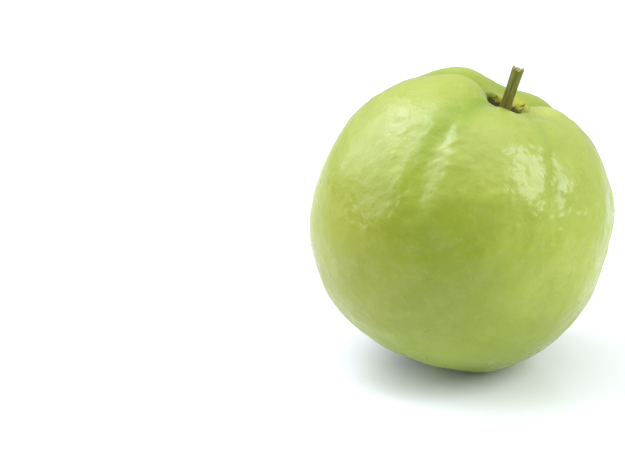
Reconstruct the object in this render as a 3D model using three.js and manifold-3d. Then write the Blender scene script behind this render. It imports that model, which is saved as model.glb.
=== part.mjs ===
// A whole guava as picked: a pale green fruit with five soft lobes, the cut stem that stands in a
// pit at its top, and the dried calyx in a basin at its foot. The fruit leans to one side and rests
// on a small flat spot beside the calyx. Millimetres, +Z up, resting plane at z = 0.

import * as THREE from "three";
import { mergeVertices } from "three/addons/utils/BufferGeometryUtils.js";
import Module from "manifold-3d";

const wasm = await Module();
wasm.setup();

const { degToRad, radToDeg, smoothstep } = THREE.MathUtils;

// Body of the fruit, along its own axis, measured from the middle of its girth
const GIRTH = 93.4; // across the widest part
const CROWN_HEIGHT = 46.3; // up to the top, before the funnel is taken out
const FOOT_HEIGHT = 45.4; // down to the foot, before the basin is taken out
const FULLNESS = 2.2; // exponent of the outline: 2 is an ellipse, more has squarer shoulders

// Hollow round the stem: a wide funnel with a narrow pit in it
const FUNNEL = { depth: 6.4, reach: 14.2 };
const PIT = { depth: 6.4, floorRadius: 4.3, lipRadius: 6.5 };

// Basin round the calyx
const BASIN = { depth: 3.6, floorRadius: 4.2, rimRadius: 10.5 };

// How far the fruit's axis leans towards +X, and how deep the flat spot cuts into its underside
const LEAN = degToRad(20.5);
const FLAT_SPOT_DEPTH = 0.55;

// Furrows between the five lobes. Azimuths and breadths are in degrees round the fruit's axis, the
// reach is how far from the stem each one runs in degrees of arc, and the crease is the share of
// its depth that is narrow.
const FURROWS = [
  { azimuth: 40, depth: 2.4, reach: 46, breadth: 18, crease: 0.4 },
  { azimuth: 101, depth: 2.6, reach: 44, breadth: 26, crease: 0.1 },
  { azimuth: 162, depth: 2.7, reach: 60, breadth: 21, crease: 0.4 },
  { azimuth: 234, depth: 2.0, reach: 62, breadth: 21, crease: 0.4 },
  { azimuth: 302, depth: 1.7, reach: 58, breadth: 21, crease: 0.4 },
];
const CREASE_BREADTH = 6.5; // the narrow crease along the middle of each furrow
const FURROW_FADE = 3; // exponent: the larger it is, the more suddenly a furrow ends at its reach
const FOOT_FURROW = { depth: 0.6, reach: 34 }; // the same furrows where they meet at the calyx

// Broad rises of the skin: where they are, how far they spread in degrees and how high they stand
const SWELLS = [
  { polar: 31, azimuth: 137, spread: 13, height: 1.8 },
  { polar: 36, azimuth: 200, spread: 24, height: 1.3 },
  { polar: 48, azimuth: 276, spread: 24, height: 0.5 },
  { polar: 19, azimuth: 8, spread: 14, height: 1 },
  { polar: 24, azimuth: 68, spread: 12, height: 0.5 },
  { polar: 166, azimuth: 0, spread: 14, height: 0.45 },
];

// Gentle unevenness of the skin: waves that run through it in seeded directions
const UNEVENNESS = { waves: 9, height: 0.085, shortest: 15, longest: 30, seed: 11 };

// Stem: a woody stalk, cut off ragged, that widens towards its foot on the floor of the pit
const STEM = {
  length: 18.2, // from the pit's floor up to the cut
  root: 3.2, // from the pit's floor down into the fruit
  radius: 1.62,
  footRadius: 2.5,
  footHeight: 9,
  cutRadius: 1.87,
  flareHeight: 3,
  upright: degToRad(3.2), // how much less it leans than the fruit
  offset: -0.9, // of its foot from the pit's middle, along X
};
const STEM_RIDGES = { count: 4, height: 0.07 }; // height as a share of the stem's radius

// The cut end slopes and is ragged: waves round its edge, with heights as shares of its radius
const CUT_SLOPE = 0.25;
const CUT_WAVES = [
  { count: 2, height: 0.35, turn: 0.6 },
  { count: 5, height: 0.21, turn: -1.6 },
];

// Calyx: a dry ring round the scar of the flower, as [radius, height] points from its spigot in the
// fruit up to the stub of the style, and the sepals that curl outwards from the ring
const CALYX_SPIGOT = { radius: 2.5, depth: 2.4 };
const CALYX_RING = [
  [3.9, 0.9],
  [3.6, 1.7],
  [2.9, 1.8],
  [2.2, 1.0],
  [0.9, 0.7],
  [0.55, 1.9],
  [0, 2.1],
];
const SEPALS = {
  count: 5,
  length: 4.4,
  thickness: 0.8,
  rootRadius: 3,
  rootHeight: 0.9,
  cupping: 0.5, // how far its edges stand in from its middle
  halfWidths: [1.8, 2.1, 2.2, 2.1, 1.75, 1.3, 0.75, 0.25], // at even steps from root to tip
};
const SEPAL_ANGLE = { root: degToRad(15), tip: degToRad(102) }; // from the calyx's axis
const SEPAL_VARIATION = { size: 0.12, turn: 0.25, seed: 7 }; // from one sepal to the next

const CLEARANCE = 0.3; // between two pieces that touch
const SOCKET_MOUTH = 1; // how far the tool that cuts a socket stands out of it

const FRUIT_MESH = { segments: 96, pitRings: 8, bodyRings: 32, basinRings: 6 };
const STEM_MESH = { sides: 20, steps: 18 };
const CALYX_SEGMENTS = 30;
const SOCKET_SEGMENTS = 24;
const SEPAL_STRIPS = 4; // across its width

const WELD_WITHIN = 1e-4; // vertices nearer than this are one
const LEHMER = { multiplier: 16807, modulus: 2147483647 }; // of the seeded draws

const FINISHES = {
  skin: { color: 0xa9bf58, roughness: 0.45 },
  stem: { color: 0x75732f, roughness: 0.8 },
  calyx: { color: 0x6b4a2a, roughness: 0.85 },
};

/** How near an angle is to a centre: a bell of the given width, all in degrees. */
function bell(angle, centre, width) {
  const off = THREE.MathUtils.euclideanModulo(angle - centre + 180, 360) - 180;
  return Math.exp(-((off / width) ** 2));
}

/** Numbers from 0 to 1 that are the same on each run. */
function seededDraws(seed) {
  let state = seed;
  return () => {
    state = (state * LEHMER.multiplier) % LEHMER.modulus;
    return state / LEHMER.modulus;
  };
}

/** Moves each vertex of a geometry by a rule that changes the point it is given. */
function reshaped(geometry, rule) {
  const position = geometry.attributes.position;
  const point = new THREE.Vector3();
  for (let i = 0; i < position.count; i++) {
    point.fromBufferAttribute(position, i);
    rule(point);
    position.setXYZ(i, point.x, point.y, point.z);
  }
  return geometry;
}

/** [radius, height] points, listed from the bottom up, spun round +Z. */
function spun(profile, segments) {
  const points = profile.map(([radius, height]) => new THREE.Vector2(radius, height));
  return new THREE.LatheGeometry(points, segments).rotateX(Math.PI / 2);
}

/** A closed solid of a geometry, for joining and cutting. */
function solidOf(geometry) {
  const bare = geometry.clone();
  bare.deleteAttribute("normal");
  bare.deleteAttribute("uv");
  const merged = mergeVertices(bare, WELD_WITHIN);
  return new wasm.Manifold(
    new wasm.Mesh({
      numProp: 3,
      vertProperties: merged.attributes.position.array,
      triVerts: new Uint32Array(merged.index.array),
    }),
  );
}

/** The geometry of a solid. */
function geometryOf(solid) {
  const mesh = solid.getMesh();
  const geometry = new THREE.BufferGeometry();
  geometry.setAttribute("position", new THREE.BufferAttribute(mesh.vertProperties, 3));
  geometry.setIndex(new THREE.BufferAttribute(mesh.triVerts, 1));
  geometry.computeVertexNormals();
  return geometry;
}

/** Height of the plain outline at a radius from the axis: the body less its hollows. */
function outlineHeight(radius, upper) {
  const body = (1 - (radius / (GIRTH / 2)) ** FULLNESS) ** (1 / FULLNESS);
  if (upper) {
    const funnel = FUNNEL.depth * Math.exp(-((radius / FUNNEL.reach) ** 2));
    const pit = PIT.depth * (1 - smoothstep(radius, PIT.floorRadius, PIT.lipRadius));
    return CROWN_HEIGHT * body - funnel - pit;
  }
  const basin = BASIN.depth * (1 - smoothstep(radius, BASIN.floorRadius, BASIN.rimRadius));
  return basin - FOOT_HEIGHT * body;
}

/** The plain outline, from the middle of the basin up to the middle of the pit. */
function outline() {
  const { pitRings, bodyRings, basinRings } = FRUIT_MESH;
  const start = -Math.acos(BASIN.rimRadius / (GIRTH / 2));
  const end = Math.acos(PIT.lipRadius / (GIRTH / 2));
  const points = [];
  for (let i = 0; i < basinRings; i++) {
    const radius = (BASIN.rimRadius * i) / basinRings;
    points.push([radius, outlineHeight(radius, false)]);
  }
  for (let i = 0; i <= bodyRings; i++) {
    const angle = start + ((end - start) * i) / bodyRings;
    const radius = (GIRTH / 2) * Math.cos(angle);
    points.push([radius, outlineHeight(radius, angle > 0)]);
  }
  for (let i = pitRings - 1; i >= 0; i--) {
    const radius = (PIT.lipRadius * i) / pitRings;
    points.push([radius, outlineHeight(radius, true)]);
  }
  return points;
}

/** The waves of the skin's unevenness, each with its direction and phase. */
function unevenWaves() {
  const draw = seededDraws(UNEVENNESS.seed);
  return Array.from({ length: UNEVENNESS.waves }, () => {
    const along = new THREE.Vector3(draw() - 0.5, draw() - 0.5, draw() - 0.5);
    const wavelength = THREE.MathUtils.lerp(UNEVENNESS.shortest, UNEVENNESS.longest, draw());
    along.setLength((2 * Math.PI) / wavelength);
    return { along, phase: 2 * Math.PI * draw() };
  });
}

/** How far the skin stands out of the plain outline at a point of it. */
function skinRelief(point, waves) {
  const radius = Math.hypot(point.x, point.y);
  const azimuth = radToDeg(Math.atan2(point.y, point.x));
  const polar = radToDeg(Math.atan2(radius, point.z));

  let furrowed = 0;
  for (const furrow of FURROWS) {
    const across =
      (1 - furrow.crease) * bell(azimuth, furrow.azimuth, furrow.breadth) +
      furrow.crease * bell(azimuth, furrow.azimuth, CREASE_BREADTH);
    const fromStem = furrow.depth * Math.exp(-((polar / furrow.reach) ** FURROW_FADE));
    const fromCalyx = FOOT_FURROW.depth * Math.exp(-(((180 - polar) / FOOT_FURROW.reach) ** 2));
    furrowed += across * (fromStem + fromCalyx);
  }

  let swollen = 0;
  for (const swell of SWELLS) {
    const middle = new THREE.Vector3(
      Math.sin(degToRad(swell.polar)) * Math.cos(degToRad(swell.azimuth)),
      Math.sin(degToRad(swell.polar)) * Math.sin(degToRad(swell.azimuth)),
      Math.cos(degToRad(swell.polar)),
    );
    swollen += swell.height * Math.exp(-((radToDeg(middle.angleTo(point)) / swell.spread) ** 2));
  }

  let uneven = 0;
  for (const { along, phase } of waves) {
    uneven += UNEVENNESS.height * Math.sin(along.dot(point) + phase);
  }

  // All of it fades out on the floors of the pit and the basin, where the other pieces sit.
  const clearOfFloor =
    point.z > 0
      ? smoothstep(radius, PIT.floorRadius, 2 * PIT.lipRadius)
      : smoothstep(radius, BASIN.floorRadius, BASIN.rimRadius);
  return clearOfFloor * (swollen + uneven - furrowed);
}

/** The fruit, upright, with the middle of its girth at the origin. */
function fruitBody() {
  const waves = unevenWaves();
  return reshaped(spun(outline(), FRUIT_MESH.segments), (point) => {
    point.setLength(point.length() + skinRelief(point, waves));
  });
}

/** The stem, upright, with the pit's floor at z = 0. */
function stemStalk() {
  const whole = STEM.root + STEM.length;
  const rod = new THREE.CylinderGeometry(1, 1, whole, STEM_MESH.sides, STEM_MESH.steps)
    .rotateX(Math.PI / 2)
    .translate(0, 0, whole / 2 - STEM.root);
  return reshaped(rod, (point) => {
    const around = Math.atan2(point.y, point.x);
    const fromAxis = Math.hypot(point.x, point.y);
    const foot = 1 - smoothstep(point.z, 0, STEM.footHeight);
    const flare = smoothstep(point.z, STEM.length - STEM.flareHeight, STEM.length);
    const girth =
      STEM.radius +
      (STEM.footRadius - STEM.radius) * foot +
      (STEM.cutRadius - STEM.radius) * flare;
    const ridges = 1 + STEM_RIDGES.height * (1 - foot) * Math.cos(STEM_RIDGES.count * around);
    point.x *= girth * ridges;
    point.y *= girth * ridges;
    let ragged = -CUT_SLOPE * Math.cos(around);
    for (const wave of CUT_WAVES) {
      ragged += wave.height * Math.cos(wave.count * around + wave.turn);
    }
    point.z += flare * fromAxis * ragged;
  });
}

/** One sepal, curling outwards from the calyx's axis over +X. */
function sepalBlade(lengthShare, curlShare) {
  const { length, thickness, rootRadius, rootHeight, cupping, halfWidths } = SEPALS;
  const steps = halfWidths.length - 1;
  const turn = (SEPAL_ANGLE.tip - SEPAL_ANGLE.root) * curlShare;
  const bend = (length * lengthShare) / turn;
  return reshaped(new THREE.BoxGeometry(1, 1, thickness, steps, SEPAL_STRIPS, 1), (point) => {
    const along = point.x + 0.5;
    const side = 2 * point.y;
    const angle = SEPAL_ANGLE.root + turn * along;
    const inwards = point.z + cupping * side * side;
    const out = bend * (Math.cos(SEPAL_ANGLE.root) - Math.cos(angle));
    const up = bend * (Math.sin(angle) - Math.sin(SEPAL_ANGLE.root));
    point.set(
      rootRadius + out - inwards * Math.cos(angle),
      halfWidths[Math.round(along * steps)] * side,
      rootHeight + up + inwards * Math.sin(angle),
    );
  });
}

/** The calyx, opening towards +Z, with the basin's floor at z = 0. */
function calyxCrown() {
  const { radius, depth } = CALYX_SPIGOT;
  const [ringRadius] = CALYX_RING[0];
  const profile = [
    [0, -depth],
    [radius, -depth],
    [radius, CLEARANCE],
    [ringRadius, CLEARANCE],
    ...CALYX_RING,
  ];
  const draw = seededDraws(SEPAL_VARIATION.seed);
  const vary = () => 1 + SEPAL_VARIATION.size * (2 * draw() - 1);
  let crown = solidOf(spun(profile, CALYX_SEGMENTS));
  for (let i = 0; i < SEPALS.count; i++) {
    const around = (2 * Math.PI * (i + SEPAL_VARIATION.turn * draw())) / SEPALS.count;
    crown = crown.add(solidOf(sepalBlade(vary(), vary()).rotateZ(around)));
  }
  return geometryOf(crown);
}

/** A plain hole for a round piece to stand in, with its mouth at z = 0. */
function socket(radius, depth) {
  const wide = radius + CLEARANCE;
  const deep = depth + CLEARANCE;
  return new THREE.CylinderGeometry(wide, wide, deep + SOCKET_MOUTH, SOCKET_SEGMENTS)
    .rotateX(Math.PI / 2)
    .translate(0, 0, (SOCKET_MOUTH - deep) / 2);
}

/** A named mesh with its own finish. */
function piece(name, geometry, finish) {
  const mesh = new THREE.Mesh(geometry, new THREE.MeshStandardMaterial(finish));
  mesh.name = name;
  return mesh;
}

// Places of the stem and the calyx on the upright fruit
const stemPlace = new THREE.Matrix4()
  .makeTranslation(STEM.offset, 0, outlineHeight(0, true))
  .multiply(new THREE.Matrix4().makeRotationY(-STEM.upright));
const calyxPlace = new THREE.Matrix4()
  .makeTranslation(0, 0, outlineHeight(0, false))
  .multiply(new THREE.Matrix4().makeRotationX(Math.PI));

const stemSocket = socket(STEM.footRadius, STEM.root).applyMatrix4(stemPlace);
const calyxSocket = socket(CALYX_SPIGOT.radius, CALYX_SPIGOT.depth).applyMatrix4(calyxPlace);
const upright = solidOf(fruitBody()).subtract(solidOf(stemSocket)).subtract(solidOf(calyxSocket));

// Leant over and let down until the flat spot lies in the resting plane
const leant = geometryOf(upright).rotateY(LEAN);
leant.computeBoundingBox();
const drop = -leant.boundingBox.min.z - FLAT_SPOT_DEPTH;
const ground = new THREE.BoxGeometry(2 * GIRTH, 2 * GIRTH, GIRTH).translate(0, 0, -GIRTH / 2);
const rested = solidOf(leant.translate(0, 0, drop)).subtract(solidOf(ground));
const stem = stemStalk().applyMatrix4(stemPlace).rotateY(LEAN).translate(0, 0, drop);
const calyx = calyxCrown().applyMatrix4(calyxPlace).rotateY(LEAN).translate(0, 0, drop);

const guava = new THREE.Group();
guava.name = "guava";
guava.add(
  piece("fruit", geometryOf(rested), FINISHES.skin),
  piece("stem", stem, FINISHES.stem),
  piece("calyx", calyx, FINISHES.calyx),
);

// The middle of the whole outline stands over the origin.
const middle = new THREE.Box3().setFromObject(guava).getCenter(new THREE.Vector3());
for (const mesh of guava.children) {
  mesh.geometry.translate(-middle.x, -middle.y, 0);
}

export default guava;
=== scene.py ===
"""Looks of a whole guava: its pebbled, lobed skin, its cut stem, its dried calyx and a white studio."""

import logging
import math
import random
from collections.abc import Callable, Iterator
from contextlib import contextmanager
from dataclasses import dataclass
from enum import Enum

import bmesh
import bpy
from mathutils import Matrix, Vector, noise


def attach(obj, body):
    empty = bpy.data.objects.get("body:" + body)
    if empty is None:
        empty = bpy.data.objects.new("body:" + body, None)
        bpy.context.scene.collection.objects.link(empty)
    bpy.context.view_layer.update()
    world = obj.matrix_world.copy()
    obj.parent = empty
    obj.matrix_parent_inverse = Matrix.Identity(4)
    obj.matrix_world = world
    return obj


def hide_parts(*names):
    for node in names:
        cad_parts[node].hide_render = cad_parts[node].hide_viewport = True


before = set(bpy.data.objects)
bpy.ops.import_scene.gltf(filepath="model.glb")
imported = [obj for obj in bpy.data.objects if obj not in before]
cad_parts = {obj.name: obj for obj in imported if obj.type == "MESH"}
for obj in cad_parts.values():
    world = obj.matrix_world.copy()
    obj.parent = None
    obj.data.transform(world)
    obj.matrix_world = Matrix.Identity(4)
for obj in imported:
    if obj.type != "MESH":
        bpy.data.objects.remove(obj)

MM = 0.001
ROOM_FLOOR = 0.0
log = logging.getLogger("guava")

Colour = tuple[float, float, float, float]
Triple = tuple[float, float, float]
Socket = bpy.types.NodeSocket
Piece = bpy.types.Object


class Slot(Enum):
    """Names for the material slots."""

    SKIN = "skin"
    STEM = "stem"
    CALYX = "calyx"


def paint(red: int, green: int, blue: int) -> Colour:
    """Turns a colour as a screen shows it into the linear colour that shaders take.

    Args:
        red: Red from 0 to 255.
        green: Green from 0 to 255.
        blue: Blue from 0 to 255.

    Returns:
        The linear colour, with full alpha.
    """
    shares = [value / 255 for value in (red, green, blue)]
    linear = [s / 12.92 if s <= 0.04045 else ((s + 0.055) / 1.055) ** 2.4 for s in shares]
    return (linear[0], linear[1], linear[2], 1.0)


def smoothstep(value: float, start: float, end: float) -> float:
    """Eases from 0 at start to 1 at end."""
    share = min(1.0, max(0.0, (value - start) / (end - start)))
    return share * share * (3 - 2 * share)


def bell(angle: float, centre: float, breadth: float) -> float:
    """Tells how near an angle is to a centre: 1 at the centre, fading over the breadth, in degrees."""
    off = (angle - centre + 180) % 360 - 180
    return math.exp(-((off / breadth) ** 2))


def angles(point: Vector) -> tuple[float, float]:
    """Gives a point's angle from the top of the fruit's axis and its angle round it, in degrees."""
    polar = math.degrees(math.atan2(math.hypot(point.x, point.y), point.z))
    return polar, math.degrees(math.atan2(point.y, point.x))


def noise_round(around: float, density: float, along: float) -> float:
    """Gives smooth noise that closes on itself round an axis, from the angle round it in radians."""
    return noise.noise(Vector((math.cos(around) * density, math.sin(around) * density, along)))


def bring_in(name: str, data: bpy.types.ID) -> Piece:
    """Makes an object and links it to the scene.

    Args:
        name: The object's name.
        data: Its mesh, light or camera.

    Returns:
        The object.
    """
    item = bpy.data.objects.new(name, data)
    bpy.context.scene.collection.objects.link(item)
    return item


def activate(piece: Piece) -> None:
    """Selects one piece, and nothing else, and makes it the active one.

    Args:
        piece: The piece.
    """
    bpy.ops.object.select_all(action="DESELECT")
    piece.select_set(True)
    bpy.context.view_layer.objects.active = piece


@contextmanager
def editing(piece: Piece) -> Iterator[None]:
    """Keeps a piece in edit mode, for the length of a with block.

    Args:
        piece: The piece to edit.
    """
    activate(piece)
    bpy.ops.object.mode_set(mode="EDIT")
    try:
        yield
    finally:
        bpy.ops.object.mode_set(mode="OBJECT")


def select_faces(piece: Piece, wanted: Callable[[Vector], bool]) -> None:
    """Selects, in edit mode, the faces whose middle is at a wanted place.

    Args:
        piece: The piece that is being edited.
        wanted: Says for a face's middle if the face is wanted.
    """
    bpy.ops.mesh.select_mode(type="FACE")
    bpy.ops.mesh.select_all(action="DESELECT")
    mesh = bmesh.from_edit_mesh(piece.data)
    for face in mesh.faces:
        face.select_set(wanted(face.calc_center_median()))
    bmesh.update_edit_mesh(piece.data)


def add_modifier(piece: Piece, kind: str, **settings: object) -> None:
    """Adds a modifier to a piece and applies it.

    Args:
        piece: The piece to shape.
        kind: The modifier's type, as Blender names it.
        **settings: The modifier's settings.
    """
    activate(piece)
    modifier = piece.modifiers.new(kind.lower(), kind)
    for name, value in settings.items():
        setattr(modifier, name, value)
    bpy.ops.object.modifier_apply(modifier=modifier.name)


def sculpt(piece: Piece, stroke: Callable[[Vector, Vector], Vector]) -> None:
    """Moves each vertex of a piece by hand-like strokes.

    Args:
        piece: The piece to shape.
        stroke: Gives the new place of a vertex, from its place and its normal.
    """
    normals = [vertex.normal.copy() for vertex in piece.data.vertices]
    for vertex, normal in zip(piece.data.vertices, normals):
        vertex.co = stroke(vertex.co, normal)
    piece.data.update()


def store(piece: Piece, name: str, values: list[float]) -> None:
    """Keeps one number for each vertex of a piece, for its finish to read."""
    attribute = piece.data.attributes.new(name, "FLOAT", "POINT")
    attribute.data.foreach_set("value", values)


def settle(piece: Piece, place: Matrix) -> None:
    """Moves a piece to its place and puts that place into its mesh.

    Args:
        piece: The piece, modelled in its own frame.
        place: The matrix from that frame to the room.
    """
    activate(piece)
    piece.matrix_world = place
    bpy.ops.object.transform_apply(location=True, rotation=True, scale=True)


def raise_rings(sides: int, profile: list[tuple[float, float]]) -> Piece:
    """Models a closed round form ring by ring, from a disc at its foot up to its top face.

    Args:
        sides: How many sides its rings have.
        profile: The radius and the height of each ring, in metres, from the foot up.

    Returns:
        The form, with its top face selected.
    """
    radius, height = profile[0]
    bpy.ops.mesh.primitive_circle_add(vertices=sides, radius=radius, fill_type="NGON")
    form = bpy.context.active_object
    settle(form, Matrix.Translation((0, 0, height)))
    with editing(form):
        bpy.ops.mesh.select_all(action="SELECT")
        for next_radius, next_height in profile[1:]:
            rise = next_height - height
            bpy.ops.mesh.extrude_region_move(TRANSFORM_OT_translate={"value": (0, 0, rise)})
            share = next_radius / radius
            bpy.ops.transform.resize(value=(share, share, 1), center_override=(0, 0, next_height))
            radius, height = next_radius, next_height
    return form


def mend_normals(piece: Piece) -> None:
    """Merges a piece's doubled vertices and turns its faces outwards.

    Args:
        piece: The piece.
    """
    with editing(piece):
        bpy.ops.mesh.select_all(action="SELECT")
        bpy.ops.mesh.remove_doubles(threshold=1e-6)
        bpy.ops.mesh.normals_make_consistent(inside=False)


@dataclass(frozen=True)
class FruitPose:
    """Where the fruit stands, how far its axis leans towards +X, and where its pit and basin end."""

    centre: Triple = (-0.09 * MM, 0.06 * MM, 46.01 * MM)
    lean: float = math.radians(20.5)
    pit_floor: float = 33.5 * MM
    basin_floor: float = -41.8 * MM
    lip_middle: Triple = (-2.1 * MM, 0.0, 0.0)

    def matrix(self) -> Matrix:
        """Gives the matrix from the fruit's own frame, with its axis along +Z, to the room."""
        return Matrix.Translation(self.centre) @ Matrix.Rotation(self.lean, 4, "Y")


@dataclass(frozen=True)
class Fade:
    """How something fades in along a value: none of it at start, its whole share at full."""

    start: float
    full: float
    share: float = 1.0

    def at(self, value: float) -> float:
        """Gives how much of it there is at a value."""
        return self.share * smoothstep(value, self.start, self.full)


class NodeSheet:
    """A material's node tree, with short calls that add nodes and join them."""

    def __init__(self, name: str) -> None:
        """Starts a material.

        Args:
            name: The material's name.
        """
        self.material = bpy.data.materials.new(name)
        self.material.use_nodes = True
        self.tree = self.material.node_tree
        self.shader = self.tree.nodes["Principled BSDF"]

    def add(
        self, kind: str, inputs: dict[str | int, object] | None = None, **settings: object
    ) -> bpy.types.Node:
        """Adds a node.

        Args:
            kind: The node's type, without its ShaderNode prefix.
            inputs: Values, or sockets to join, for the node's inputs by name or number.
            **settings: The node's own settings.

        Returns:
            The node.
        """
        node = self.tree.nodes.new(f"ShaderNode{kind}")
        for name, value in settings.items():
            setattr(node, name, value)
        for name, value in (inputs or {}).items():
            self.feed(node.inputs[name], value)
        return node

    def feed(self, socket: Socket, value: object) -> None:
        """Joins a socket to another, or sets its value.

        Args:
            socket: The input socket.
            value: The socket to join to it, or its value.
        """
        if isinstance(value, Socket):
            self.tree.links.new(value, socket)
        else:
            socket.default_value = value

    def shade(self, name: str, value: object) -> None:
        """Joins a socket to one of the shader's inputs, or sets that input's value."""
        self.feed(self.shader.inputs[name], value)

    def bump(self, height: Socket, strength: float, depth: float) -> None:
        """Roughens the finish by a height between 0 and 1.

        Args:
            height: The height's socket.
            strength: How strong the effect is, from 0 to 1.
            depth: How far apart the heights 0 and 1 are, in metres.
        """
        node = self.add("Bump", {"Height": height, "Strength": strength, "Distance": depth})
        self.shade("Normal", node.outputs[0])

    def math(self, operation: str, *values: object) -> Socket:
        """Adds a math node.

        Args:
            operation: The operation, as Blender names it.
            *values: Its numbers or sockets.

        Returns:
            The result's socket.
        """
        return self.add("Math", dict(enumerate(values)), operation=operation).outputs[0]

    def times(self, first: Socket, *others: object) -> Socket:
        """Multiplies a socket by numbers or other sockets.

        Args:
            first: The first socket.
            *others: What it is multiplied by, one after another.

        Returns:
            The product's socket.
        """
        for other in others:
            first = self.math("MULTIPLY", first, other)
        return first

    def scaled(self, place: Socket, factors: Triple) -> Socket:
        """Multiplies a place's coordinates, each by its own factor."""
        return self.add("VectorMath", {0: place, 1: factors}, operation="MULTIPLY").outputs[0]

    def distance(self, place: Socket, point: Triple) -> Socket:
        """Gives the distance from a place to a point."""
        return self.add("VectorMath", {0: place, 1: point}, operation="DISTANCE").outputs["Value"]

    def towards(self, place: Socket, direction: Triple) -> Socket:
        """Gives how far out a place lies in a direction."""
        return self.add("VectorMath", {0: place, 1: direction}, operation="DOT_PRODUCT").outputs["Value"]

    def blend(self, share: object, first: object, second: object) -> Socket:
        """Mixes two colours.

        Args:
            share: How much of the second colour there is.
            first: The first colour or its socket.
            second: The second colour or its socket.

        Returns:
            The mixed colour's socket.
        """
        node = self.add("Mix", data_type="RGBA", clamp_factor=True)
        self.feed(node.inputs[0], share)
        self.feed(node.inputs[6], first)
        self.feed(node.inputs[7], second)
        return node.outputs[2]

    def fade(self, value: Socket, fade: Fade) -> Socket:
        """Gives how much of a fade there is at a value."""
        return self.ease(value, fade.start, fade.full, 0.0, fade.share)

    def ease(self, value: Socket, low: float, high: float, start: float, end: float) -> Socket:
        """Maps a value smoothly from one range to another.

        Args:
            value: The value's socket.
            low: The value at which the result leaves its start.
            high: The value at which the result comes to its end.
            start: The result at low.
            end: The result at high.

        Returns:
            The result's socket.
        """
        inputs = {0: value, 1: low, 2: high, 3: start, 4: end}
        return self.add("MapRange", inputs, interpolation_type="SMOOTHSTEP").outputs[0]

    def clouds(self, place: Socket, size: float, detail: float = 2.0, rough: float = 0.5) -> Socket:
        """Adds soft noise.

        Args:
            place: The coordinates' socket.
            size: The size of its patches in metres.
            detail: How many finer layers it has.
            rough: How strong the finer layers are.

        Returns:
            The noise's socket, about 0.5 on average.
        """
        inputs = {"Vector": place, "Scale": 1 / size, "Detail": detail, "Roughness": rough}
        return self.add("TexNoise", inputs).outputs[0]

    def spots(self, place: Socket, size: float) -> Socket:
        """Scatters cells of a size and gives the distance to the middle of the nearest one."""
        return self.add("TexVoronoi", {"Vector": place, "Scale": 1 / size}).outputs[0]

    def frame_of(self, matrix: Matrix) -> Socket:
        """Gives the piece's coordinates in another frame.

        Args:
            matrix: The matrix from that frame to the room.

        Returns:
            The coordinates' socket.
        """
        here = self.add("TexCoord").outputs["Object"]
        turn = matrix.to_euler()
        mapping = self.add("Mapping", {"Vector": here}, vector_type="TEXTURE")
        mapping.inputs["Location"].default_value = matrix.to_translation()
        mapping.inputs["Rotation"].default_value = (turn.x, turn.y, turn.z)
        return mapping.outputs[0]


@dataclass(frozen=True)
class PaintedShadeAndTone:
    """A side of the fruit blended towards a darker colour along a direction, as painted shade; one also
    turns yellower.
    """

    side: Triple
    fade: Fade
    colour: Colour


@dataclass(frozen=True)
class SkinMap:
    """Sockets that say where on the fruit a spot of the skin lies."""

    place: Socket
    x: Socket
    y: Socket
    z: Socket
    across: Socket
    upper: Socket
    inside: Socket
    near_scar: Socket
    scarred: Socket


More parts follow.
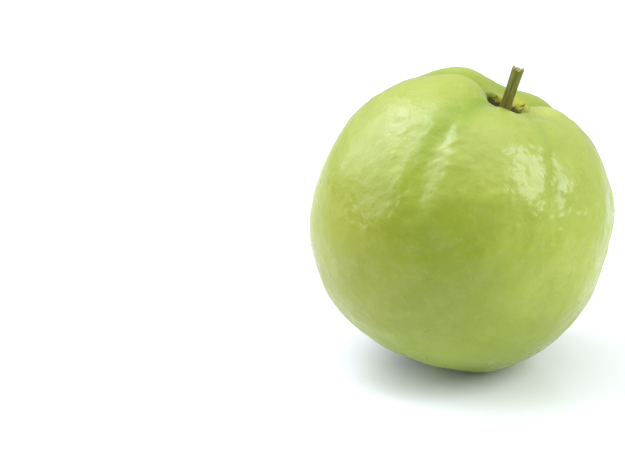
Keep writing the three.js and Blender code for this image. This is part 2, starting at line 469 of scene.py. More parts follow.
@dataclass(frozen=True)
class SkinFinish:
    """Waxy pale green skin, with painted shade and sheen: greener furrows, a yellower lower left, cork low
    in the pit.
    """

    pose: FruitPose
    leaf_green: Colour = paint(139, 156, 26)
    pale_green: Colour = paint(154, 168, 44)
    patch_size: float = 34 * MM
    patches: Fade = Fade(0.35, 0.68)
    crown_green: Colour = paint(155, 168, 80)
    crown: Fade = Fade(2 * MM, 40 * MM, 0.62)
    furrow_green_and_shade: Colour = paint(117, 147, 14)
    furrow_share: float = 0.85
    foot_shade_green: Colour = paint(126, 147, 6)
    foot: Fade = Fade(4 * MM, -34 * MM, 0.5)
    painted_shades_and_tones: tuple[PaintedShadeAndTone, ...] = (
        # Painted shade: a darker green over the front, left of the middle and a little low.
        PaintedShadeAndTone((-0.31, -0.94, -0.14), Fade(35 * MM, 46 * MM, 0.75), paint(123, 141, 5)),
        # Painted shade: a darker green over the front, a little right and up.
        PaintedShadeAndTone((0.24, -0.94, 0.24), Fade(43.8 * MM, 46.4 * MM, 0.3), paint(123, 141, 5)),
        # A yellower tone at the lower left, darker there too as painted shade.
        PaintedShadeAndTone((-0.72, -0.62, -0.33), Fade(34 * MM, 46 * MM, 0.55), paint(139, 141, 4)),
    )
    bloom_and_sheen: Colour = paint(200, 208, 118)
    mottle_size: float = 6 * MM
    mottle: Fade = Fade(0.42, 0.75, 0.10)
    raised: Fade = Fade(0.2, 0.9, 0.07)
    fleck_size: float = 2.1 * MM
    flecks: Fade = Fade(0.24, 0.08, 0.08)
    upper: Fade = Fade(20 * MM, 30 * MM)
    within_lip: Fade = Fade(7.4 * MM, 6.0 * MM)
    near_axis: Fade = Fade(8.5 * MM, 4.5 * MM)
    hollow_shade_green: Colour = paint(128, 146, 22)
    hollow: Fade = Fade(15 * MM, 6 * MM, 0.6)
    behind: Fade = Fade(0.0, 7 * MM)
    behind_reach: Fade = Fade(24 * MM, 14 * MM)
    behind_foot: Fade = Fade(25 * MM, 35 * MM, 0.55)
    behind_crest: Fade = Fade(44.2 * MM, 42.2 * MM)
    crest_middle: Triple = (9.5 * MM, 0.5 * MM, 42.8 * MM)
    crest: Fade = Fade(8 * MM, 2 * MM, 0.36)
    pit_yellow: Colour = paint(164, 163, 44)
    oval_scale: Triple = (1.33, 1.0, 0.0)
    oval_middle: Triple = (0.0, 3.0 * MM, 0.0)
    oval: Fade = Fade(10 * MM, 5.5 * MM, 0.72)
    pit_shade: Colour = paint(96, 112, 10)
    left_wall: Fade = Fade(0.0, -5 * MM, 0.7)
    scab_and_pit_shade: Colour = paint(50, 38, 12)
    cork_size: float = 1.6 * MM
    cork_raggedness: float = 3 * MM
    cork_slope: float = 0.05
    cork: Fade = Fade(41.1 * MM, 40.3 * MM, 0.95)
    scar_middle: Triple = (4.0 * MM, 5.0 * MM, 40.3 * MM)
    scar: Fade = Fade(3.4 * MM, 2.0 * MM)
    speck_size: float = 1.3 * MM
    crowding: Fade = Fade(2.6 * MM, 0.8 * MM, 0.16)
    specks: Fade = Fade(0.61, 0.67, 0.8)
    basin_reach: Fade = Fade(9 * MM, 4 * MM, 0.6)
    basin_depth: Fade = Fade(-25 * MM, -35 * MM)
    sheen_size: float = 9 * MM
    roughness: tuple[float, float] = (0.25, 0.38)
    pit_dryness: float = 0.6
    pore_size: float = 1.25 * MM
    pore_depth: float = 0.12 * MM
    flesh_share: float = 0.12
    flesh_depth: float = 2.5 * MM
    flesh_reach: Triple = (0.9, 1.0, 0.35)

    def material(self) -> bpy.types.Material:
        """Builds the skin's material.

        Returns:
            The material.
        """
        sheet = NodeSheet("guava_skin")
        spot = self._map(sheet)
        colour = self._ground(sheet, spot)
        colour = self._top(sheet, spot, colour)
        colour = self._pit(sheet, spot, colour)
        basin = sheet.times(sheet.fade(spot.across, self.basin_reach), sheet.fade(spot.z, self.basin_depth))
        colour = sheet.blend(basin, colour, self.scab_and_pit_shade)
        sheet.shade("Base Color", colour)
        self._surface(sheet, spot)
        return sheet.material

    def _map(self, sheet: NodeSheet) -> SkinMap:
        """Works out where on the fruit a spot of the skin lies.

        Args:
            sheet: The skin's node sheet.

        Returns:
            The sockets that say so.
        """
        place = sheet.frame_of(self.pose.matrix())
        x, y, z = sheet.add("SeparateXYZ", {0: place}).outputs
        flat = sheet.scaled(place, (1.0, 1.0, 0.0))
        across = sheet.distance(flat, (0.0, 0.0, 0.0))
        upper = sheet.fade(z, self.upper)
        within_lip = sheet.fade(sheet.distance(flat, self.pose.lip_middle), self.within_lip)
        inside = sheet.times(sheet.math("MAXIMUM", within_lip, sheet.fade(across, self.near_axis)), upper)
        near_scar = sheet.distance(place, self.scar_middle)
        scarred = sheet.math("MAXIMUM", inside, sheet.fade(near_scar, self.scar))
        return SkinMap(place, x, y, z, across, upper, inside, near_scar, scarred)

    def _ground(self, sheet: NodeSheet, spot: SkinMap) -> Socket:
        """Lays the greens, with painted shade in furrows, low down and on some sides, and pale mottling and
        painted bump sheen.

        Args:
            sheet: The skin's node sheet.
            spot: Where the spot lies.

        Returns:
            The colour's socket.
        """
        patches = sheet.fade(sheet.clouds(spot.place, self.patch_size), self.patches)
        colour = sheet.blend(patches, self.leaf_green, self.pale_green)
        colour = sheet.blend(sheet.fade(spot.z, self.crown), colour, self.crown_green)
        # Greener in the furrows, and darker there as painted shade too.
        furrow = sheet.add("Attribute", attribute_name="furrow").outputs["Fac"]
        colour = sheet.blend(sheet.times(furrow, self.furrow_share), colour, self.furrow_green_and_shade)
        # Painted shade: darker, more saturated green towards the bottom.
        colour = sheet.blend(sheet.fade(spot.z, self.foot), colour, self.foot_shade_green)
        # Painted shade on parts of the front and the lower left, where one side also turns yellower.
        for shade in self.painted_shades_and_tones:
            outwards = sheet.towards(spot.place, shade.side)
            colour = sheet.blend(sheet.fade(outwards, shade.fade), colour, shade.colour)
        mottle = sheet.fade(sheet.clouds(spot.place, self.mottle_size, 3.0, 0.6), self.mottle)
        relief = sheet.add("Attribute", attribute_name="relief").outputs["Fac"]
        # Painted sheen: paler on the bumps that stand out.
        bump_sheen = sheet.fade(relief, self.raised)
        flecks = sheet.fade(sheet.spots(spot.place, self.fleck_size), self.flecks)
        for pale in (mottle, bump_sheen, flecks):
            colour = sheet.blend(pale, colour, self.bloom_and_sheen)
        return colour

    def _top(self, sheet: NodeSheet, spot: SkinMap, colour: Socket) -> Socket:
        """Paints shade round the pit and on the lobes behind it, and a painted highlight on the crest at
        its right.

        Args:
            sheet: The skin's node sheet.
            spot: Where the spot lies.
            colour: The skin's colour so far.

        Returns:
            The colour's socket.
        """
        # Painted shade: a darker green round the pit.
        hollow = sheet.times(sheet.fade(spot.across, self.hollow), spot.upper)
        colour = sheet.blend(hollow, colour, self.hollow_shade_green)
        # Painted shade: a darker green on the lobes behind the pit, below their crest.
        behind = sheet.times(
            sheet.fade(spot.y, self.behind),
            sheet.fade(spot.across, self.behind_reach),
            sheet.fade(spot.z, self.behind_foot),
            sheet.fade(spot.z, self.behind_crest),
        )
        colour = sheet.blend(behind, colour, self.hollow_shade_green)
        # Painted highlight: a pale patch on the crest right of the pit.
        crest = sheet.fade(sheet.distance(spot.place, self.crest_middle), self.crest)
        return sheet.blend(crest, colour, self.bloom_and_sheen)

    def _pit(self, sheet: NodeSheet, spot: SkinMap, colour: Socket) -> Socket:
        """Colours the pit: yellow round the stem, painted shade on its left wall, cork low down that is
        also painted shade, and specks.

        Args:
            sheet: The skin's node sheet.
            spot: Where the spot lies.
            colour: The skin's colour so far.

        Returns:
            The colour's socket.
        """
        oval = sheet.distance(sheet.scaled(spot.place, self.oval_scale), self.oval_middle)
        yellowed = sheet.times(sheet.fade(oval, self.oval), spot.upper)
        colour = sheet.blend(yellowed, colour, self.pit_yellow)
        # Painted shade on the pit's left wall.
        left_wall = sheet.times(sheet.fade(spot.x, self.left_wall), spot.inside)
        colour = sheet.blend(left_wall, colour, self.pit_shade)
        # Brown cork low in the pit, which also stands for painted shade in its depth.
        ragged = sheet.times(sheet.clouds(spot.place, self.cork_size), self.cork_raggedness)
        level = sheet.math("MULTIPLY_ADD", spot.x, self.cork_slope, sheet.math("ADD", spot.z, ragged))
        cork_and_shade_share = sheet.times(sheet.fade(level, self.cork), spot.inside)
        colour = sheet.blend(cork_and_shade_share, colour, self.scab_and_pit_shade)
        crowded = sheet.fade(spot.near_scar, self.crowding)
        specks = sheet.math("ADD", sheet.clouds(spot.place, self.speck_size, 1.0), crowded)
        specks = sheet.times(sheet.fade(specks, self.specks), spot.scarred)
        return sheet.blend(specks, colour, self.scab_and_pit_shade)

    def _surface(self, sheet: NodeSheet, spot: SkinMap) -> None:
        """Gives the skin its uneven gloss, dry in the pit, its fine pores and its slight depth.

        Args:
            sheet: The skin's node sheet.
            spot: Where the spot lies.
        """
        sheen = sheet.clouds(spot.place, self.sheen_size)
        rough = sheet.ease(sheen, 0.3, 0.7, *self.roughness)
        rough = sheet.math("MULTIPLY_ADD", spot.scarred, self.pit_dryness, rough)
        sheet.shade("Roughness", rough)
        pores = sheet.clouds(spot.place, self.pore_size)
        sheet.bump(pores, 1.0, self.pore_depth)
        sheet.shade("Subsurface Weight", self.flesh_share)
        sheet.shade("Subsurface Radius", self.flesh_reach)
        sheet.shade("Subsurface Scale", self.flesh_depth)


@dataclass(frozen=True)
class StemFinish:
    """Green-brown bark with fine lengthwise fibres, browner at the foot, and a dry pale cut end."""

    place: Matrix
    bark: Colour = paint(124, 129, 42)
    dark_bark: Colour = paint(92, 94, 26)
    foot_brown: Colour = paint(120, 106, 32)
    dry_wood: Colour = paint(158, 156, 96)
    fibre_size: float = 0.55 * MM
    fibre_stretch: float = 0.12
    fibres: Fade = Fade(0.38, 0.66)
    patch_size: float = 3.2 * MM
    patches: Fade = Fade(0.5, 0.75, 0.5)
    foot: Fade = Fade(13 * MM, 6 * MM, 0.75)
    ring_size: float = 0.7 * MM
    rings: Fade = Fade(0.4, 0.62)
    roughness: float = 0.72
    fibre_depth: float = 0.12 * MM

    def material(self) -> bpy.types.Material:
        """Builds the stem's material.

        Returns:
            The material.
        """
        sheet = NodeSheet("guava_stem")
        place = sheet.frame_of(self.place)
        height = sheet.add("SeparateXYZ", {0: place}).outputs[2]
        scale = (1.0, 1.0, self.fibre_stretch)
        stretched = sheet.add("Mapping", {"Vector": place, "Scale": scale}).outputs[0]
        fibres = sheet.clouds(stretched, self.fibre_size, 3.0, 0.6)
        colour = sheet.blend(sheet.fade(fibres, self.fibres), self.dark_bark, self.bark)
        patches = sheet.fade(sheet.clouds(place, self.patch_size), self.patches)
        colour = sheet.blend(patches, colour, self.foot_brown)
        colour = sheet.blend(sheet.fade(height, self.foot), colour, self.foot_brown)
        cut = sheet.add("Attribute", attribute_name="cut").outputs["Fac"]
        rings = sheet.fade(sheet.clouds(place, self.ring_size, 3.0), self.rings)
        wood = sheet.blend(rings, self.dry_wood, self.foot_brown)
        colour = sheet.blend(cut, colour, wood)
        sheet.shade("Base Color", colour)
        sheet.shade("Roughness", self.roughness)
        sheet.bump(fibres, 0.7, self.fibre_depth)
        return sheet.material


@dataclass(frozen=True)
class CalyxFinish:
    """Dry brown calyx, mottled paler along fine veins."""

    dark: Colour = paint(72, 48, 26)
    light: Colour = paint(140, 108, 66)
    vein_size: float = 0.8 * MM
    veins: Fade = Fade(0.36, 0.7)
    vein_depth: float = 0.2 * MM
    roughness: float = 0.82

    def material(self) -> bpy.types.Material:
        """Builds the calyx's material.

        Returns:
            The material.
        """
        sheet = NodeSheet("guava_calyx")
        here = sheet.add("TexCoord").outputs["Object"]
        veins = sheet.clouds(here, self.vein_size, 3.0, 0.6)
        colour = sheet.blend(sheet.fade(veins, self.veins), self.dark, self.light)
        sheet.shade("Base Color", colour)
        sheet.shade("Roughness", self.roughness)
        sheet.bump(veins, 0.8, self.vein_depth)
        return sheet.material


@dataclass(frozen=True)
class Furrow:
    """One furrow between two lobes: azimuth, reach and breadth in degrees, and how strongly it is painted
    greener and shaded.
    """

    azimuth: float
    reach: float
    breadth: float
    tint: float = 1.0

    def depth_at(self, polar: float, azimuth: float) -> float:
        """Gives how deep in the furrow a place lies, from 0 to the furrow's tint."""
        along = math.exp(-((polar / self.reach) ** 3))
        return self.tint * along * bell(azimuth, self.azimuth, self.breadth)


@dataclass(frozen=True)
class Fold:
    """A fold that runs down the skin: azimuths, polar range and breadth in degrees, height in metres."""

    azimuth: float
    sweep: float
    start: float
    end: float
    breadth: float
    height: float

    def height_at(self, polar: float, azimuth: float) -> float:
        """Gives how far the fold lifts the skin at a place.

        Args:
            polar: The angle from the top of the fruit's axis, in degrees.
            azimuth: The angle round the axis, in degrees.

        Returns:
            The lift in metres, less than zero in a crease.
        """
        along = (polar - self.start) / (self.end - self.start)
        ends = smoothstep(along, -0.15, 0.15) * (1 - smoothstep(along, 0.55, 1.15))
        return self.height * ends * bell(azimuth, self.azimuth + self.sweep * along, self.breadth)


@dataclass(frozen=True)
class Swell:
    """A soft bulge of the skin: its middle in the fruit's frame, spread and height, in millimetres."""

    middle: Triple
    spread: float
    height: float

    def height_at(self, point: Vector) -> float:
        """Gives how far the bulge lifts the skin at a point."""
        away = (point / MM - Vector(self.middle)).length
        return self.height * MM * math.exp(-((away / self.spread) ** 2))


@dataclass(frozen=True)
class ReliefLayer:
    """One layer of the skin's unevenness: soft clouds of one size that push the skin in and out."""

    name: str
    size: float
    height: float


@dataclass(frozen=True)
class RoughPatch:
    """A more or less uneven part of the skin: its middle and breadth round the axis and down it."""

    azimuth: float
    breadth: float
    polar: float
    reach: float
    gain: float

    def gain_at(self, polar: float, azimuth: float) -> float:
        """Gives what the patch adds to the unevenness at a place."""
        return self.gain * bell(azimuth, self.azimuth, self.breadth) * bell(polar, self.polar, self.reach)


@dataclass
class FruitSkin:
    """The body of the fruit: the lobed form with a fine even mesh, uneven and pebbled."""

    pose: FruitPose
    voxel: float = 0.67 * MM
    socket_radius: float = 3.3 * MM
    socket_margin: float = 1.2 * MM
    relief_range: float = 0.8 * MM
    most_uneven: float = 2.0
    lip_drop: float = 1.4 * MM
    lip: Fade = Fade(6.7 * MM, 5.4 * MM)
    clear_of_stem: Fade = Fade(2 * MM, 3.5 * MM)
    furrows: tuple[Furrow, ...] = (
        Furrow(40, 46, 9.9),
        Furrow(101, 44, 14.3),
        Furrow(162, 60, 11.55),
        Furrow(234, 62, 11.55),
        Furrow(302, 58, 11.55, 0.4),
    )
    layers: tuple[ReliefLayer, ...] = (
        ReliefLayer("waves", 13 * MM, 0.42 * MM),
        ReliefLayer("dents", 5.0 * MM, 0.33 * MM),
        ReliefLayer("pebbles", 2.3 * MM, 0.18 * MM),
    )
    usual_uneven: float = 0.45
    patches: tuple[RoughPatch, ...] = (
        RoughPatch(0, math.inf, 62, 34, 1.222),
        RoughPatch(200, 22, 0, math.inf, -0.25),
        RoughPatch(242, 8, 46, 15, 0.9),
        RoughPatch(288, 28, 50, 22, 0.45),
    )
    calm_top: Fade = Fade(26, 7, 0.75)
    calm_foot: Fade = Fade(110, 165, 0.6)
    calm_rest: Fade = Fade(3 * MM, 0.2 * MM)
    folds: tuple[Fold, ...] = (
        Fold(237.8, 8.5, 44, 76, 4.8, -0.74 * MM),
        Fold(227.5, 11, 34, 84, 5.5, 0.42 * MM),
        Fold(245.5, 7, 38, 66, 4.0, 0.10 * MM),
        Fold(300.0, 0, 35, 78, 4.4, -0.34 * MM),
        Fold(292.5, 0, 30, 100, 4.6, 0.28 * MM),
        Fold(311, 0, 34, 80, 8.0, -0.55 * MM),
    )
    swells: tuple[Swell, ...] = (
        Swell((-16.5, -3.0, 42.9), 6.5, 2.0),
        Swell((-14.0, 13.5, 42.7), 6.0, 0.9),
        Swell((-4.5, 15.5, 41.0), 5.0, 0.6),
        Swell((-12.0, -4.0, 42.5), 3.5, 0.35),
        Swell((12.5, -21.9, 39.3), 5.0, 0.75),
        Swell((2.5, -42.0, 20.5), 6.0, 0.7),
        Swell((-7.5, -5.0, 42.0), 2.5, -1.0),
        Swell((-2.8, -8.0, 42.0), 2.6, 0.25),
        Swell((4.3, -5.8, 41.5), 2.4, 1.3),
        Swell((5.4, -1.8, 41.0), 2.6, 1.2),
        Swell((5.4, 2.2, 40.5), 2.4, 1.0),
        Swell((7.6, -12.2, 42.5), 5.0, 0.8),
        Swell((10.5, -16.5, 41.0), 5.0, 0.5),
        Swell((10.5, 1.5, 42.0), 5.0, 1.2),
        Swell((14.5, 2.0, 41.5), 5.0, 0.4),
        Swell((43.0, 0, 18.5), 11.0, 0.6),
        Swell((45.9, 0, 8.0), 7.5, -2.4),
        Swell((46.0, 0, -9.0), 8.0, 0.7),
        Swell((21.0, -16.0, -37.8), 11.0, 0.7),
        Swell((6.0, -15.8, -43.2), 12.0, -1.4),
    )

    def build(self) -> Piece:
        """Models the skin over the fruit's plain solid.

        Returns:
            The skin, in its place.
        """
        skin = bring_in("guava_skin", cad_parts["fruit"].data.copy())
        self._close_sockets(skin)
        add_modifier(skin, "SUBSURF", levels=2, render_levels=2)
        guide = bring_in("skin_guide", skin.data.copy())
        add_modifier(skin, "REMESH", mode="VOXEL", voxel_size=self.voxel, use_smooth_shade=True)
        add_modifier(skin, "SHRINKWRAP", target=guide, wrap_method="NEAREST_SURFACEPOINT")
        add_modifier(skin, "SMOOTH", factor=0.5, iterations=4)
        bpy.data.meshes.remove(guide.data)
        self._fold(skin)
        plain = [vertex.co.copy() for vertex in skin.data.vertices]
        normals = [vertex.normal.copy() for vertex in skin.data.vertices]
        self._roughen(skin)
        self._press_flat(skin)
        self._describe(skin, plain, normals)
        activate(skin)
        bpy.ops.object.shade_smooth()
        return skin

    def _close_sockets(self, skin: Piece) -> None:
        """Takes the two sockets out of the copied solid and closes their mouths.

        Args:
            skin: The copied solid.
        """
        into_fruit = self.pose.matrix().inverted()

        def in_socket(middle: Vector) -> bool:
            """Says if a face's middle is on a socket's wall or floor.

            Args:
                middle: The face's middle, in the room.

            Returns:
                Whether it is.
            """
            point = into_fruit @ middle
            if math.hypot(point.x, point.y) > self.socket_radius + self.socket_margin:
                return False
            below_pit = 20 * MM < point.z < self.pose.pit_floor - 0.05 * MM
            above_basin = self.pose.basin_floor + 0.05 * MM < point.z < -30 * MM
            return below_pit or above_basin

        with editing(skin):
            bpy.ops.mesh.select_all(action="SELECT")
            bpy.ops.mesh.remove_doubles(threshold=1e-6)
            select_faces(skin, in_socket)
            bpy.ops.mesh.delete(type="FACE")
            bpy.ops.mesh.select_all(action="SELECT")
            bpy.ops.mesh.fill_holes(sides=0)
            bpy.ops.mesh.select_all(action="SELECT")
            bpy.ops.mesh.tris_convert_to_quads(
                face_threshold=math.radians(50), shape_threshold=math.radians(60)
            )

    def _fold(self, skin: Piece) -> None:
        """Lays the folds and swells into the skin and sinks the pit behind a crisp lip.

        Args:
            skin: The skin, still smooth.
        """
        into_fruit = self.pose.matrix().inverted()
        down = self.pose.matrix().to_3x3() @ Vector((0, 0, -1))

        def stroke(place: Vector, normal: Vector) -> Vector:
            """Moves one vertex of the skin.

            Args:
                place: Its place in the room.
                normal: Its normal.

            Returns:
                Its new place.
            """
            point = into_fruit @ place
            polar, azimuth = angles(point)
            lift = sum(fold.height_at(polar, azimuth) for fold in self.folds)
            lift += sum(swell.height_at(point) for swell in self.swells)
            sunk = 0.0
            if point.z > 0:
                from_lip = (Vector((point.x, point.y, 0)) - Vector(self.pose.lip_middle)).length
                sunk = self.lip.at(from_lip) * self.clear_of_stem.at(math.hypot(point.x, point.y))
            return place + normal * lift + down * sunk * self.lip_drop

        sculpt(skin, stroke)

    def _roughen(self, skin: Piece) -> None:
        """Pushes the layers of unevenness into the skin, less at its top, foot and resting spot.

        Args:
            skin: The skin with its folds.
        """
        into_fruit = self.pose.matrix().inverted()
        group = skin.vertex_groups.new(name="uneven")
        for vertex in skin.data.vertices:
            polar, azimuth = angles(into_fruit @ vertex.co)
            uneven = self.usual_uneven
            for patch in self.patches:
                uneven *= 1 + patch.gain_at(polar, azimuth)
            for calm in (self.calm_top.at(polar), self.calm_foot.at(polar), self.calm_rest.at(vertex.co.z)):
                uneven *= 1 - calm
            group.add([vertex.index], uneven / self.most_uneven, "REPLACE")
        for layer in self.layers:
            texture = bpy.data.textures.new(layer.name, "CLOUDS")
            texture.noise_basis = "ORIGINAL_PERLIN"
            texture.noise_scale = layer.size
            texture.noise_depth = 1
            add_modifier(
                skin,
                "DISPLACE",
                texture=texture,
                texture_coords="LOCAL",
                strength=2 * layer.height * self.most_uneven,
                mid_level=0.5,
                vertex_group="uneven",
            )

    def _press_flat(self, skin: Piece) -> None:
        """Keeps the skin above the floor, flat where it rests."""
        sculpt(skin, lambda place, normal: Vector((place.x, place.y, max(place.z, ROOM_FLOOR))))

    def _describe(self, skin: Piece, plain: list[Vector], normals: list[Vector]) -> None:
        """Stores for each vertex how deep in a furrow it lies and how far it stands out.

        Args:
            skin: The finished skin.
            plain: The places of its vertices before it was roughened.
            normals: Their normals then.
        """
        into_fruit = self.pose.matrix().inverted()
        furrowed, raised = [], []
        for vertex, before, normal in zip(skin.data.vertices, plain, normals):
            polar, azimuth = angles(into_fruit @ vertex.co)
            furrowed.append(max(furrow.depth_at(polar, azimuth) for furrow in self.furrows))
            raised.append(0.5 + (vertex.co - before).dot(normal) / self.relief_range)
        store(skin, "furrow", furrowed)
        store(skin, "relief", raised)

    def dress(self, skin: Piece) -> None:
        """Gives the skin its finish, hangs it under the root's empty and hides the plain part it stands
        for.

        Args:
            skin: The finished skin.
        """
        skin.data.materials.clear()
        skin.data.materials.append(SkinFinish(self.pose).material())
        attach(skin, "root")
        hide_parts("fruit")


@dataclass
class CutStem:
    """The woody stem: it widens at its foot and at its ragged cut end, with soft ridges and fibres."""

    pose: FruitPose
    offset: float = -0.9 * MM
    upright: float = math.radians(4.3)
    length: float = 19.1 * MM
    root: float = 1.6 * MM
    radius: float = 1.66 * MM
    foot_radius: float = 2.5 * MM
    foot_height: float = 9 * MM
    cut_radius: float = 1.80 * MM
    flare_height: float = 3 * MM
    sides: int = 24
    rings: int = 20
    ridges: int = 4
    ridge_depth: float = 0.06
    ragged_waves: tuple[tuple[int, float, float], ...] = ((1, 0.06, 0.0), (2, 0.16, 0.6), (5, 0.12, -1.6))
    cut_steps: tuple[tuple[float, float], ...] = ((0.25, 0.05), (0.4, -0.22), (0.45, -0.12), (0.4, 0.08))

    def place(self) -> Matrix:
        """Gives the matrix from the stem's own frame, with the pit's floor at z = 0, to the room."""
        shift = Matrix.Translation((self.offset, 0, self.pose.pit_floor))
        return self.pose.matrix() @ shift @ Matrix.Rotation(-self.upright, 4, "Y")

    def _girth(self, height: float) -> float:
        """Gives the stem's radius.

        Args:
            height: The height above the pit's floor.

        Returns:
            The radius there.
        """
        foot = 1 - smoothstep(height, 0, self.foot_height)
        flare = smoothstep(height, self.length - self.flare_height, self.length)
        wider = (self.foot_radius - self.radius) * foot + (self.cut_radius - self.radius) * flare
        return self.radius + wider

    def build(self) -> Piece:
        """Models the stem from its root to its cut end.

        Returns:
            The stem, in its place.
        """
        step = (self.length + self.root) / self.rings
        heights = [ring * step - self.root for ring in range(self.rings + 1)]
        stem = raise_rings(self.sides, [(self._girth(height), height) for height in heights])
        stem.name = stem.data.name = "guava_stem"
        with editing(stem):
            for thickness, depth in self.cut_steps:
                bpy.ops.mesh.inset(thickness=thickness * MM, depth=depth * MM)
        add_modifier(stem, "SUBSURF", levels=2, render_levels=2)
        self._carve(stem)
        store(stem, "cut", self._cut_shares(stem))
        mend_normals(stem)
        settle(stem, self.place())
        activate(stem)
        bpy.ops.object.shade_smooth()
        return stem

    def _carve(self, stem: Piece) -> None:
        """Carves the ridges, the fibres and the ragged end.

        Args:
            stem: The stem, still plain.
        """

        def stroke(place: Vector, normal: Vector) -> Vector:
            """Moves one vertex of the stem.

            Args:
                place: Its place in the stem's own frame.
                normal: Its normal, which is not used.

            Returns:
                Its new place.
            """
            around = math.atan2(place.y, place.x)
            from_axis = math.hypot(place.x, place.y)
            foot = 1 - smoothstep(place.z, 0, self.foot_height)
            top = smoothstep(place.z, self.length - self.flare_height, self.length)
            ridge = self.ridge_depth * (1 - foot) * math.cos(self.ridges * around)
            grain = noise_round(around, 3.2, place.z / (6 * MM))
            fibre = noise_round(around, 8, place.z / (3 * MM) + 7)
            swell = 1 + ridge + 0.05 * grain + 0.03 * fibre
            ragged = sum(rise * math.cos(count * around + turn) for count, rise, turn in self.ragged_waves)
            lift = top * from_axis * (ragged + 0.35 * noise_round(around, 5, 3.0))
            return Vector((place.x * swell, place.y * swell, place.z + lift))

        sculpt(stem, stroke)

    def _cut_shares(self, stem: Piece) -> list[float]:
        """Tells for each vertex how much it belongs to the cut end.

        Args:
            stem: The carved stem.

        Returns:
            The shares, from 0 to 1, in the order of the vertices.
        """
        shares = []
        for vertex in stem.data.vertices:
            on_top = smoothstep(vertex.co.z, self.length - 1.2 * MM, self.length - 0.2 * MM)
            shares.append(on_top * smoothstep(vertex.normal.z, 0.05, 0.5))
        return shares

    def dress(self, stem: Piece) -> None:
        """Gives the stem its finish, hangs it under the root's empty and hides the plain part it stands
        for.

        Args:
            stem: The finished stem.
        """
        stem.data.materials.append(StemFinish(self.place()).material())
        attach(stem, "root")
        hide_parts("stem")


@dataclass
class DriedCalyx:
    """The dried calyx: a puckered ring with the stub of the style, and five curled sepals."""

    pose: FruitPose
    profile: tuple[tuple[float, float], ...] = (
        (3.6, -1.2),
        (4.1, 0.1),
        (3.9, 0.9),
        (3.6, 1.6),
        (2.9, 1.8),
        (2.2, 1.0),
        (1.2, 0.7),
        (0.6, 1.2),
        (0.5, 1.9),
        (0.2, 2.1),
    )
    sides: int = 40
    sepals: int = 5
    sepal_length: float = 4.4 * MM
    sepal_thickness: float = 0.35 * MM
    sepal_halves: tuple[float, ...] = (1.8, 2.1, 2.2, 2.1, 1.75, 1.3, 0.75, 0.25)
    sepal_root: tuple[float, float] = (3.1 * MM, 0.9 * MM)
    curl: tuple[float, float] = (math.radians(15), math.radians(102))
    seed: int = 7

    def place(self) -> Matrix:
        """Gives the matrix from the calyx's own frame, opening towards +Z, to the room."""
        shift = Matrix.Translation((0, 0, self.pose.basin_floor))
        return self.pose.matrix() @ shift @ Matrix.Rotation(math.pi, 4, "X")

    def build(self) -> Piece:
        """Models the ring and its sepals.

        Returns:
            The calyx, in its place.
        """
        ring = self._ring()
        draw = random.Random(self.seed)
        parts = [ring]
        for index in range(self.sepals):
            turn = 2 * math.pi * (index + 0.25 * draw.random()) / self.sepals
            size = 1 + 0.2 * (draw.random() - 0.5)
            curling = 1 + 0.2 * (draw.random() - 0.5)
            parts.append(self._sepal(turn, size, curling, index))
        bpy.ops.object.select_all(action="DESELECT")
        for part in parts:
            part.select_set(True)
        bpy.context.view_layer.objects.active = ring
        bpy.ops.object.join()
        ring.name = ring.data.name = "guava_calyx"
        settle(ring, self.place())
        mend_normals(ring)
        activate(ring)
        bpy.ops.object.shade_smooth()
        return ring

    def _ring(self) -> Piece:
        """Models the puckered ring from its foot up to the stub of the style.

        Returns:
            The ring, in the calyx's own frame.
        """
        ring = raise_rings(self.sides, [(radius * MM, height * MM) for radius, height in self.profile])
        add_modifier(ring, "SUBSURF", levels=1, render_levels=1)

        def pucker(place: Vector, normal: Vector) -> Vector:
            """Moves one vertex of the ring into dry folds.

            Args:
                place: Its place in the calyx's own frame.
                normal: Its normal.

            Returns:
                Its new place.
            """
            around = math.atan2(place.y, place.x)
            fold = 0.12 * math.cos(9 * around) + 0.2 * noise.noise(place / (1.1 * MM))
            return place + normal * fold * MM * smoothstep(place.z, -0.5 * MM, 0.8 * MM)

        sculpt(ring, pucker)
        return ring

    def _sepal(self, turn: float, size: float, curling: float, index: int) -> Piece:
        """Models one sepal from a flat strip.

        Args:
            turn: Where it stands round the calyx's axis.
            size: Its length, as a share of the usual one.
            curling: How far it curls, as a share of the usual curl.
            index: Its number, which sets its own wrinkles.

        Returns:
            The sepal.
        """
        steps = len(self.sepal_halves) - 1
        bpy.ops.mesh.primitive_grid_add(x_subdivisions=steps, y_subdivisions=6, size=1)
        sepal = bpy.context.active_object
        start, end = self.curl
        arc = (end - start) * curling
        bend = self.sepal_length * size / arc
        root_radius, root_height = self.sepal_root

        def curl(place: Vector, normal: Vector) -> Vector:
            """Moves one vertex of the flat strip on to the curled sepal.

            Args:
                place: Its place on the strip.
                normal: Its normal, which is not used.

            Returns:
                Its place on the sepal.
            """
            along = place.x + 0.5
            side = 2 * place.y
            angle = start + arc * along
            wrinkle = 0.3 * noise.noise(Vector((along * 4, side * 2, index * 3.7)))
            inwards = (0.5 * side * side + wrinkle) * MM
            return Vector((
                root_radius + bend * (math.cos(start) - math.cos(angle)) - inwards * math.cos(angle),
                self.sepal_halves[min(steps, round(along * steps))] * side * MM,
                root_height + bend * (math.sin(angle) - math.sin(start)) + inwards * math.sin(angle),
            ))

        sculpt(sepal, curl)
        add_modifier(sepal, "SOLIDIFY", thickness=self.sepal_thickness, offset=0)
        add_modifier(sepal, "SUBSURF", levels=2, render_levels=2)
        settle(sepal, Matrix.Rotation(turn, 4, "Z"))
        return sepal

    def dress(self, calyx: Piece) -> None:
        """Gives the calyx its finish, hangs it under the root's empty and hides the plain part it stands
        for.

        Args:
            calyx: The finished calyx.
        """
        calyx.data.materials.append(CalyxFinish().material())
        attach(calyx, "root")
        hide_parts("calyx")


@dataclass(frozen=True)
class Softbox:
    """One large soft light, aimed at the fruit from a direction."""

    name: str
    direction: Triple
    distance: float
    size: tuple[float, float]
    power: float
    tint: Triple = (1.0, 1.0, 1.0)


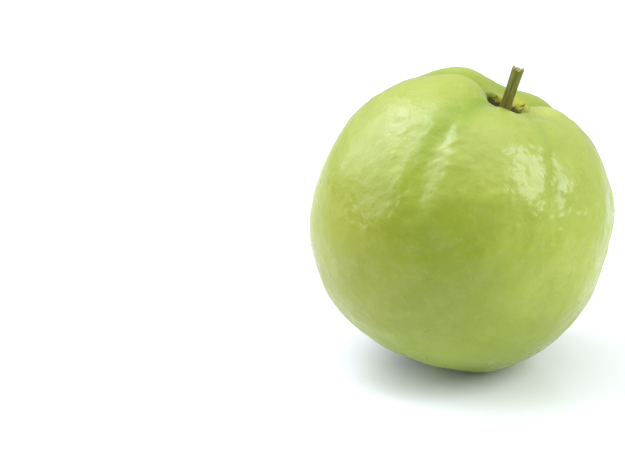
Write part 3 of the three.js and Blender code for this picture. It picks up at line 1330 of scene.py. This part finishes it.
@dataclass
class Studio:
    """A white table, white surroundings, soft lights and the camera."""

    pose: FruitPose
    floor_size: float = 8.0
    floor_white: Colour = (0.90, 0.93, 0.97, 1.0)
    floor_roughness: float = 0.07
    surroundings: float = 0.60
    backdrop: float = 1.02
    camera_distance: float = 0.548
    camera_elevation: float = math.radians(20)
    camera_turn: float = math.radians(5.167)
    camera_dip: float = math.radians(20.50)
    lens: float = 100.0
    sensor: float = 36.0
    boxes: tuple[Softbox, ...] = (
        Softbox("left_softbox", (-0.76, 0.13, 0.56), 0.8, (0.95, 0.80), 7.4, (0.85, 0.85, 1.0)),
        Softbox("left_lamp", (-0.46, 0.17, 0.86), 0.8, (0.36, 0.42), 2.0, (0.85, 0.85, 1.0)),
        Softbox("right_softbox", (0.785, -0.188, 0.585), 0.9, (0.44, 0.64), 6.0, (0.94, 0.96, 1.0)),
        Softbox("top_softbox", (0.0, 0.05, 1.0), 1.3, (1.4, 1.4), 6.4),
    )

    def build(self) -> None:
        """Sets up the table, the surroundings, the lights and the camera."""
        self._table()
        self._surroundings()
        for box in self.boxes:
            self._light(box)
        self._camera()
        bpy.context.scene.view_settings.view_transform = "Standard"

    def _table(self) -> None:
        """Lays the white, faintly glossy table."""
        bpy.ops.mesh.primitive_plane_add(size=self.floor_size, location=(0, 0, ROOM_FLOOR))
        table = bpy.context.active_object
        table.name = "studio_table"
        sheet = NodeSheet("studio_white")
        sheet.shade("Base Color", self.floor_white)
        sheet.shade("Roughness", self.floor_roughness)
        table.data.materials.append(sheet.material)

    def _surroundings(self) -> None:
        """Makes the surroundings white where the camera sees them, and dimmer as a light on the fruit."""
        world = bpy.data.worlds.new("studio")
        world.use_nodes = True
        bpy.context.scene.world = world
        nodes, links = world.node_tree.nodes, world.node_tree.links
        background = nodes["Background"]
        background.inputs["Color"].default_value = (1, 1, 1, 1)
        seen = nodes.new("ShaderNodeLightPath").outputs["Is Camera Ray"]
        strength = nodes.new("ShaderNodeMix")
        links.new(seen, strength.inputs[0])
        strength.inputs[2].default_value = self.surroundings
        strength.inputs[3].default_value = self.backdrop
        links.new(strength.outputs[0], background.inputs["Strength"])

    def _light(self, box: Softbox) -> None:
        """Hangs one softbox.

        Args:
            box: The softbox.
        """
        away = Vector(box.direction).normalized()
        light = bpy.data.lights.new(box.name, "AREA")
        light.shape = "RECTANGLE"
        light.size, light.size_y = box.size
        light.energy = box.power
        light.color = box.tint
        lamp = bring_in(box.name, light)
        lamp.location = Vector(self.pose.centre) + away * box.distance
        lamp.rotation_euler = away.to_track_quat("Z", "Y").to_euler()

    def _camera(self) -> None:
        """Stands the camera in front of the fruit, looking down and to the fruit's left."""
        lens = bpy.data.cameras.new("camera")
        lens.lens = self.lens
        lens.sensor_width = self.sensor
        camera = bring_in("camera", lens)
        back = Vector((0, -math.cos(self.camera_elevation), math.sin(self.camera_elevation)))
        camera.location = Vector(self.pose.centre) + back * self.camera_distance
        camera.rotation_euler = (math.pi / 2 - self.camera_dip, 0, self.camera_turn)
        bpy.context.scene.camera = camera


def main() -> None:
    """Builds the guava and its studio."""
    logging.basicConfig(level=logging.INFO, format="%(name)s: %(message)s")
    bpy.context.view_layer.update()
    pose = FruitPose()
    for maker in (FruitSkin(pose), CutStem(pose), DriedCalyx(pose)):
        piece = maker.build()
        maker.dress(piece)
        log.info("%s: %d faces", piece.name, len(piece.data.polygons))
    Studio(pose).build()


if __name__ == "__main__":
    main()
